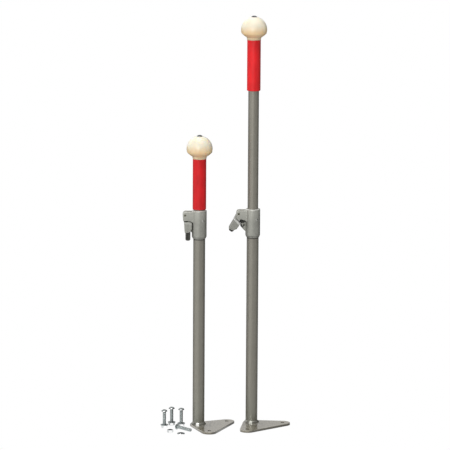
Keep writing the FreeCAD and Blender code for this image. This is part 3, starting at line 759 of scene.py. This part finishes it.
@dataclass(frozen=True)
class Blank:
    """A new piece's name, the body it rides on, a record slot that is not used, and the nodes it stands for.
    """

    name: str
    body: str
    slot: str
    stands_for: tuple[str, ...]

    def place(self, bm: BMesh, material: Material, scale: float = MM, sharp_deg: float = 38.0) -> Piece:
        """Turns a mesh into the piece.

        Args:
            bm: The mesh, used up here.
            material: Its finish.
            scale: Metres per unit of the mesh.
            sharp_deg: Edges sharper than this stay sharp.

        Returns:
            The piece.
        """
        bmesh.ops.scale(bm, vec=(scale,) * 3, verts=bm.verts)
        bmesh.ops.remove_doubles(bm, verts=bm.verts, dist=1e-6)
        bmesh.ops.recalc_face_normals(bm, faces=bm.faces)
        mesh = bpy.data.meshes.new(self.name)
        bm.to_mesh(mesh)
        bm.free()
        mesh.shade_smooth()
        mesh.set_sharp_from_angle(angle=math.radians(sharp_deg))
        mesh.materials.append(material)
        piece = bpy.data.objects.new(self.name, mesh)
        bpy.context.scene.collection.objects.link(piece)
        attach(piece, self.body)
        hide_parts(*self.stands_for)
        LOG.info("made %s with %d faces", self.name, len(mesh.polygons))
        return piece


@dataclass(frozen=True)
class RoundScrew:
    """A round-head screw with a hexagon socket and a rolled thread, standing on its tip."""

    length_mm: float
    head_d_mm: float = 14.0
    head_h_mm: float = 4.4
    rim_mm: float = 0.4
    socket_flats_mm: float = 5.0
    socket_depth_mm: float = 2.6
    socket_lip_mm: float = 3.3
    socket_drop_mm: float = 0.12
    core_mm: float = 3.62
    crest_mm: float = 3.98
    tip_mm: float = 0.8
    tip_in_mm: float = 0.5
    thread_sink_mm: float = 0.15
    pitch_mm: float = 1.25
    neck_mm: float = 1.2
    edge_mm: float = 0.2
    drill_r_mm: float = 0.4
    drill_deep_mm: float = 0.5
    dome_steps_deg: tuple[int, ...] = (9, 18, 28, 38, 50)
    sides: int = 24

    def dome(self, radius: float) -> float:
        """Height of the dome, half an ellipse, at a radius."""
        share = radius / (self.head_d_mm / 2)
        return self.length_mm + self.rim_mm + (self.head_h_mm - self.rim_mm) * math.sqrt(1.0 - share * share)

    def draw(self, bm: BMesh) -> None:
        """Adds the screw to a mesh."""
        half, base, core = self.head_d_mm / 2, self.length_mm, self.core_mm
        head = [(half - self.edge_mm, base), (half, base + self.edge_mm), (half, base + self.rim_mm)]
        curve = [half * math.cos(math.radians(step)) for step in self.dome_steps_deg]
        head += [(radius, self.dome(radius)) for radius in (*curve, self.socket_lip_mm)]
        key = hexagon(self.socket_flats_mm)
        floor = base + self.head_h_mm - self.socket_depth_mm
        head += [(key, self.dome(self.socket_lip_mm) - self.socket_drop_mm), (key, floor),
                 (self.drill_r_mm, floor - self.drill_deep_mm)]
        shank = [(core - self.tip_in_mm, 0.0), (core, self.tip_mm), (core, base + self.edge_mm)]
        stack(bm, head, self.sides)
        stack(bm, shank, self.sides)
        turns = int((base - self.neck_mm - self.tip_mm / 2) / self.pitch_mm)
        thread(bm, core - self.thread_sink_mm, self.crest_mm, self.tip_mm / 2, turns, self.pitch_mm)


@dataclass(frozen=True)
class HexNut:
    """A nut lying flat, its corners turned off, with a threaded bore."""

    flats_mm: float = 13.0
    height_mm: float = 6.5
    face_r_mm: float = 6.15
    corner_slope: float = 0.577
    bore_mm: float = 4.0
    mouth_mm: float = 4.45
    minor_mm: float = 3.45
    thread_sink_mm: float = 0.12
    thread_turns: int = 4
    sides: int = 24

    def draw(self, bm: BMesh) -> None:
        """Adds the nut to a mesh."""
        outline = hexagon(self.flats_mm)
        top = self.height_mm

        def turned(angle: float) -> float:
            """How far the turned corner reaches along the height."""
            return (outline(angle) - self.face_r_mm) * self.corner_slope

        bevel = self.mouth_mm - self.bore_mm
        stack(bm, [(self.face_r_mm, 0.0), (outline, turned), (outline, lambda angle: top - turned(angle)),
                   (self.face_r_mm, top), (self.mouth_mm, top), (self.bore_mm, top - bevel),
                   (self.bore_mm, bevel), (self.mouth_mm, 0.0)], self.sides, ring=True)
        thread(bm, self.bore_mm + self.thread_sink_mm, self.minor_mm, bevel, self.thread_turns)


@dataclass(frozen=True)
class Washer:
    """A punched washer: rolled over on one side, sharp on the other."""

    outer_mm: float = 9.0
    hole_mm: float = 4.25
    thick_mm: float = 1.6
    roll_mm: float = 0.4
    edge_mm: float = 0.08
    sides: int = 40

    def draw(self, bm: BMesh) -> None:
        """Adds the washer to a mesh."""
        outer, hole, thick, roll = self.outer_mm, self.hole_mm, self.thick_mm, self.roll_mm
        curve = roll * 0.3
        stack(bm, [(outer - self.edge_mm, 0.0), (outer, self.edge_mm), (outer, thick - roll),
                   (outer - curve, thick - curve), (outer - roll, thick), (hole + roll, thick),
                   (hole + curve, thick - curve), (hole, thick - roll), (hole, 0.0)], self.sides, ring=True)


@dataclass(frozen=True)
class WeldBead:
    """A convex bead with overlapping ripples where a tube meets its plate."""

    tube_r_mm: float = 14.0
    plate_mm: float = 5.0
    leg_mm: float = 3.8
    climb: float = 1.4
    swell: float = 0.45
    ripples: int = 46
    ripple_mm: float = 0.34
    ripple_lag: float = 0.05
    uneven_mm: Span = (0.12, 0.08)
    uneven_waves: tuple[int, int] = (5, 11)
    sunk_mm: Span = (0.1, 0.05)
    segments: int = 276
    bands: int = 6

    def reach(self, band: int) -> Callable[[float], float]:
        """How far the bead stands out of the corner, by angle, at a band between its two toes."""
        slope = math.pi / 2 * band / self.bands
        chord = 1.0 / (math.cos(slope) + math.sin(slope))
        middle = math.sin(2 * slope)
        crown = self.leg_mm * (chord + (1.0 - chord) * self.swell)

        def at(angle: float) -> float:
            """The crown less the hollow between two ripples."""
            wave = (self.ripples * (angle - self.ripple_lag * middle) / (2 * math.pi)) % 1.0
            (first, second), (few, many) = self.uneven_mm, self.uneven_waves
            uneven = first * math.sin(few * angle + 1.0) + second * math.sin(many * angle)
            return crown + middle * (uneven - self.ripple_mm * (1.0 - math.sqrt(wave)))

        return at

    def draw(self, bm: BMesh, turn_deg: float) -> None:
        """Adds the bead to a mesh.

        Args:
            bm: The mesh.
            turn_deg: Where its start lies round the tube.
        """
        into_tube, into_plate = self.sunk_mm
        loops: list[tuple[Level, Level]] = [(self.tube_r_mm - into_tube, self.plate_mm - into_plate)]
        turn = math.radians(turn_deg)
        for band in range(self.bands + 1):
            slope = math.pi / 2 * band / self.bands
            out = self.reach(band)
            across, up = math.cos(slope), self.climb * math.sin(slope)
            loops.append((lambda angle, out=out, across=across: self.tube_r_mm + across * out(angle + turn),
                          lambda angle, out=out, up=up: self.plate_mm + up * out(angle + turn)))
        stack(bm, loops, self.segments, ring=True)


@dataclass(frozen=True)
class Casting:
    """A casting of a CAD node: the same shape with rounded edges and filled corners."""

    voxel_mm: float
    rounds: int

    def make(self, blank: Blank, node: Piece) -> Piece:
        """Makes the casting.

        Args:
            blank: What piece it is.
            node: The CAD node whose shape and finish it takes.

        Returns:
            The piece.
        """
        bm = bmesh.new()
        bm.from_mesh(node.data)
        piece = blank.place(bm, node.data.materials[0], scale=1.0)
        remesh = piece.modifiers.new("voxels", "REMESH")
        remesh.mode = "VOXEL"
        remesh.voxel_size = self.voxel_mm * MM
        soften = piece.modifiers.new("soften", "SMOOTH")
        soften.iterations = self.rounds
        depsgraph = bpy.context.evaluated_depsgraph_get()
        skin = bpy.data.meshes.new_from_object(piece.evaluated_get(depsgraph))
        piece.modifiers.clear()
        piece.data = skin
        skin.name = blank.name
        skin.shade_smooth()
        LOG.info("cast %s with %d faces", blank.name, len(skin.polygons))
        return piece


@dataclass
class Post:
    """One post: its CAD nodes' finishes, and the pieces that stand for some of them."""

    side: Side
    finishes: Finishes
    grip: Material
    x_mm: float
    y_mm: float
    weld_turn_deg: float
    weld_highlight: Colour
    lever_looks: dict[str, object]
    clamp_cast: Casting = Casting(0.5, 5)
    lever_cast: Casting = Casting(0.4, 4)
    knob_screw: RoundScrew = RoundScrew(46.0)

    def node(self, name: str) -> str:
        """A CAD node's or body's full name on this post."""
        return f"{self.side.value}_{name}"

    def blank(self, name: str, body: str, slot: str, stands_for: str) -> Blank:
        """A new piece of this post that stands for one of its CAD nodes."""
        return Blank(self.node(name), body, slot, (self.node(stands_for),))

    def middle_mm(self, name: str) -> tuple[float, ...]:
        """The middle of one of this post's CAD nodes, in millimetres."""
        low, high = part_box(self.node(name))
        return tuple((a + b) / 2 / MM for a, b in zip(low, high))

    def dress(self, nodes: dict[str, Piece]) -> None:
        """Gives each CAD node of this post its finish.

        Args:
            nodes: The CAD nodes by name.
        """
        finish = self.finishes
        wood = PaleWood(self.node("pale_wood"), self.middle_mm("ball_knob")).make()
        pin_mm = self.middle_mm("lever_pin")
        clamp = CastCoating(self.node("clamp_coating"), pin_mm).make()
        lever = CastCoating(self.node("lever_coating"), pin_mm, tip_mm=40.6, highlight_reach_mm=23.0,
                            **self.lever_looks).make()
        tube_mm = (self.x_mm, self.y_mm, 0.0)
        weld = PaintedWeld(self.node("painted_weld"), tube_mm, self.weld_highlight).make()
        # The plate: painted shade in hollows and on faces turned right, and a painted dark reflection of the
        # tube near it.
        plate = MetallicPaint(
            self.node("plate_paint"), colour=(0.29, 0.265, 0.205), metallic=0.5, roughness=0.34, coat=1.0,
            coat_roughness=0.05, peel_mm=5.0, peel_depth_mm=0.02, shade_reach_mm=8.0, tube_mm=tube_mm,
            reflection_blotch_mm=(30.0, 60.0), reflection_blotch_share=0.5, right_face_shade=0.6, low=(0.29, 0.265, 0.205)).make()
        table = {
            "base_plate": plate, "foot_weld": weld, "outer_tube": finish.outer_tube,
            "clamp_body": clamp, "clamp_rivet": finish.rivet, "cam_lever": lever,
            "lever_tab": finish.black, "tab_studs": finish.turned, "lever_pin": finish.pin,
            "brake_pad": finish.pad, "inner_tube": finish.tube, "glide_bush": finish.bush,
            "tube_plug": finish.turned, "grip_sleeve": self.grip, "ball_knob": wood,
            "knob_screw": finish.knob_head,
        }
        for name, material in table.items():
            paint(nodes[self.node(name)], material)
            LOG.info("dressed %s", self.node(name))

    def build(self, nodes: dict[str, Piece]) -> None:
        """Makes the bead, the two castings and the knob's screw.

        Args:
            nodes: The CAD nodes by name.
        """
        bead = bmesh.new()
        WeldBead().draw(bead, self.weld_turn_deg)
        bmesh.ops.translate(bead, vec=(self.x_mm, self.y_mm, 0.0), verts=bead.verts)
        painted = nodes[self.node("foot_weld")].data.materials[0]
        self.blank("weld_bead", "stand", "weld_bead", "foot_weld").place(bead, painted)
        self.clamp_cast.make(self.blank("clamp_casting", "stand", "clamp_casting", "clamp_body"),
                             nodes[self.node("clamp_body")])
        self.lever_cast.make(self.blank("lever_casting", self.node("lever"), "clamp_casting", "cam_lever"),
                             nodes[self.node("cam_lever")])
        screw = bmesh.new()
        self.knob_screw.draw(screw)
        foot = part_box(self.node("knob_screw"))[0][2] / MM
        bmesh.ops.translate(screw, vec=(self.x_mm, self.y_mm, foot), verts=screw.verts)
        self.blank("top_screw", self.node("mast"), "bright_screw", "knob_screw").place(
            screw, self.finishes.knob_head)


@dataclass(frozen=True)
class LooseFixings:
    """The screws, washers and nuts beside the left post, three of each standing together.

    A place is its x and y in millimetres and its turn in degrees.
    """

    standing: tuple[Point, ...] = ((-80.7, -20.6, 18.0), (-63.8, 7.0, 3.0), (-40.9, -3.6, 15.0))
    lying: Point = (-49.8, -38.1, -35.0)
    loose_nut: Point = (-66.2, -66.2, 10.0)
    loose_washer: Point = (-40.4, -80.0, 0.0)
    screw: RoundScrew = RoundScrew(40.0)
    nut: HexNut = HexNut()
    washer: Washer = Washer()

    def copies(self, draw: Callable[[BMesh], None], places: list[Matrix]) -> BMesh:
        """Draws one piece at several places.

        Args:
            draw: Adds the piece at the origin to a mesh.
            places: Where its copies stand.

        Returns:
            The mesh of all copies.
        """
        bm = bmesh.new()
        for place in places:
            old = set(bm.verts)
            draw(bm)
            bmesh.ops.transform(bm, matrix=place, verts=[vert for vert in bm.verts if vert not in old])
        return bm

    def build(self, finishes: Finishes) -> None:
        """Makes the twelve fixings.

        Args:
            finishes: All materials.
        """
        upright = [spot(x, y, turn) for x, y, turn in self.standing]
        lean = math.atan((self.screw.head_d_mm / 2 - self.screw.crest_mm) / self.screw.length_mm)
        x, y, turn = self.lying
        flat = (Matrix.Translation((x, y, self.screw.head_d_mm / 2 * math.cos(lean)))
                @ Matrix.Rotation(math.radians(turn), 4, "Z") @ Matrix.Rotation(lean - math.pi / 2, 4, "Y")
                @ Matrix.Translation((0.0, 0.0, -self.screw.length_mm)))
        raised = Matrix.Translation((0.0, 0.0, self.nut.height_mm))
        on_nuts = [raised @ place for place in upright]
        pieces = {
            "screws": ("foot_bolts", self.screw, upright + [flat], finishes.zinc),
            "nuts": ("foot_nuts", self.nut, upright + [spot(*self.loose_nut)], finishes.nut),
            "washers": ("foot_washers", self.washer, on_nuts + [spot(*self.loose_washer)], finishes.washer),
        }
        for name, (node, piece, places, material) in pieces.items():
            Blank(name, "stand", "zinc_screw", (node,)).place(self.copies(piece.draw, places), material)


def spot(x_mm: float, y_mm: float, turn_deg: float) -> Matrix:
    """A place on the floor, turned about the vertical."""
    return Matrix.Translation((x_mm, y_mm, 0.0)) @ Matrix.Rotation(math.radians(turn_deg), 4, "Z")


@dataclass(frozen=True)
class Glow:
    """A very large soft light: a patch of the sky or, seen in mirrors only, of the floor."""

    azimuth_deg: float
    elevation_deg: float
    strength: float
    half_angle_deg: float = 50.0

    def toward(self) -> Vector:
        """Its middle: azimuth 0 is in front of the posts, 90 at their right."""
        turn, rise = math.radians(self.azimuth_deg), math.radians(self.elevation_deg)
        return Vector((math.sin(turn) * math.cos(rise), -math.cos(turn) * math.cos(rise), math.sin(rise)))


@dataclass(frozen=True)
class Lamp:
    """A square soft light that faces the posts."""

    name: str
    place: Point
    watts: float
    side: float = 0.9

    def hang(self, aim: Vector) -> None:
        """Adds the light.

        Args:
            aim: The point that it faces.
        """
        data = bpy.data.lights.new(self.name, "AREA")
        data.shape = "SQUARE"
        data.size = self.side
        data.energy = self.watts
        lamp = bpy.data.objects.new(self.name, data)
        bpy.context.scene.collection.objects.link(lamp)
        lamp.location = self.place
        lamp.rotation_euler = (aim - Vector(self.place)).to_track_quat("-Z", "Y").to_euler()


@dataclass
class Studio:
    """Floor, light and the camera of the photograph."""

    lens_mm: float = 288.0
    pitch_deg: float = 10.4
    roll_deg: float = 0.32
    distance: float = 8.4718
    aim: Point = (0.0605, 0.0, 0.4858)
    floor_size: float = 80.0
    floor_below: float = 0.0002
    floor_bounce: float = 0.45
    lamps: tuple[Lamp, ...] = (
        Lamp("key", (-0.8, -4.0, 1.6), 50.7), Lamp("top", (0.0, -1.0, 3.6), 12.2),
    )
    sky_glows: tuple[Glow, ...] = (
        Glow(0.0, 12.0, 0.45), Glow(-45.0, 12.0, 1.12), Glow(-135.0, 12.0, 1.29),
        Glow(180.0, 50.0, 0.93), Glow(90.0, 50.0, 0.28), Glow(0.0, 90.0, 1.42),
    )
    mirror_glows: tuple[Glow, ...] = (
        Glow(-45.0, 0.0, 1.09), Glow(-90.0, 0.0, 0.74), Glow(0.0, 0.0, 0.38), Glow(45.0, 0.0, 0.70),
        Glow(90.0, 0.0, 0.42),
    )

    def build(self) -> None:
        """Makes the floor, the lights, the sky and the camera."""
        self.floor()
        self.sky()
        for lamp in self.lamps:
            lamp.hang(Vector(self.aim))
        self.camera()
        settings = bpy.context.scene.view_settings
        settings.view_transform = "Standard"
        settings.look = "None"
        settings.exposure = 0.0

    def floor(self) -> None:
        """A plain pale floor."""
        mesh = bpy.data.meshes.new("floor")
        bm = bmesh.new()
        bmesh.ops.create_grid(bm, x_segments=1, y_segments=1, size=self.floor_size / 2)
        bm.to_mesh(mesh)
        bm.free()
        floor = bpy.data.objects.new("floor", mesh)
        bpy.context.scene.collection.objects.link(floor)
        floor.location.z = -self.floor_below
        g = Graph("pale_floor")
        path = g.tree.nodes.new("ShaderNodeLightPath")
        seen = path.outputs["Is Camera Ray"]
        mirrored = path.outputs["Is Glossy Ray"]
        flat = g.vector_math("NORMALIZE", g.stretched((1.0, 1.0, 0.0)))
        shine = glowing(g, flat, self.mirror_glows, "LINEAR")
        glow = g.math("ADD", seen, g.math("MULTIPLY", mirrored, shine))
        bounce = (self.floor_bounce,) * 3
        g.set(Roughness=0.9, Specular_IOR_Level=0.0, Emission_Color=WHITE, Emission_Strength=glow,
              Base_Color=g.blend(g.math("MAXIMUM", seen, mirrored), bounce, (0.0, 0.0, 0.0)))
        mesh.materials.append(g.material)

    def sky(self) -> None:
        """Soft light from large patches of a white sky."""
        world = bpy.data.worlds.new("soft_sky")
        bpy.context.scene.world = world
        world.use_nodes = True
        g = Graph.of_tree(world.node_tree)
        toward = g.tree.nodes.new("ShaderNodeTexCoord").outputs["Generated"]
        background = g.tree.nodes["Background"]
        background.inputs["Color"].default_value = (1.0, 1.0, 1.0, 1.0)
        g.join(glowing(g, toward, self.sky_glows, "SMOOTHSTEP"), background.inputs["Strength"])

    def camera(self) -> None:
        """The camera, far back with a long lens, looking along +Y and a little down."""
        data = bpy.data.cameras.new("photo_camera")
        data.lens = self.lens_mm
        data.sensor_width = 36.0
        camera = bpy.data.objects.new("photo_camera", data)
        bpy.context.scene.collection.objects.link(camera)
        pitch = math.radians(self.pitch_deg)
        forward = Vector((0.0, math.cos(pitch), -math.sin(pitch)))
        turn = Matrix.Rotation(math.radians(90.0 - self.pitch_deg), 4, "X")
        roll = Matrix.Rotation(math.radians(self.roll_deg), 4, "Z")
        camera.matrix_world = Matrix.Translation(Vector(self.aim) - forward * self.distance) @ turn @ roll
        bpy.context.scene.camera = camera


def glowing(g: Graph, toward: Socket, glows: tuple[Glow, ...], kind: str) -> Socket:
    """The brightness of several glows together in a direction.

    Args:
        g: The graph that gets the nodes.
        toward: The direction, of length 1.
        glows: The glows.
        kind: How each fades from its middle to its edge.

    Returns:
        The brightness.
    """
    total: object = 0.0
    for glow in glows:
        edge = math.cos(math.radians(glow.half_angle_deg))
        part = g.spread(g.dot(toward, glow.toward()), edge, 1.0, 0.0, glow.strength, kind)
        total = g.math("ADD", part, total)
    return total


def paint(piece: Piece, material: Material) -> None:
    """Gives a piece one material in place of what it had."""
    piece.data.materials.clear()
    piece.data.materials.append(material)


def main() -> None:
    """Dresses both posts and the loose fixings, and sets the studio up."""
    logging.basicConfig(level=logging.INFO)
    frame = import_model()
    nodes = frame["nodes"]
    finishes = Finishes()
    # Lever looks: a painted shadow ring where the shut lever meets the lug's edge, painted highlights along
    # the shoulders, and painted shade over the open lever.
    shut_lever = {"shadow_ring_mm": (14.2, 15.6), "shoulder": (-0.19, 0.0, -0.98), "shoulder_mm": (16.0, 18.6),
                  "shoulder_highlight_share": 0.3}
    open_lever = {"shade": 0.87, "shoulder": (-0.707, 0.0, -0.707), "shoulder_mm": (13.2, 17.4),
                  "shoulder_highlight_share": 0.75}
    # Before its lever looks, each post gets its weld's painted highlight colour.
    posts = (Post(Side.LEFT, finishes, finishes.left_grip, 0.0, 0.0, 20.0, (0.92, 0.92, 0.88), shut_lever),
             Post(Side.RIGHT, finishes, finishes.right_grip, 126.0, 23.0, 75.0, (0.6, 0.6, 0.54), open_lever))
    for post in posts:
        post.dress(nodes)
        post.build(nodes)
    for name in ("foot_bolts", "foot_washers", "foot_nuts"):
        paint(nodes[name], finishes.zinc)
    LooseFixings().build(finishes)
    Studio().build()


if __name__ == "__main__":
    main()
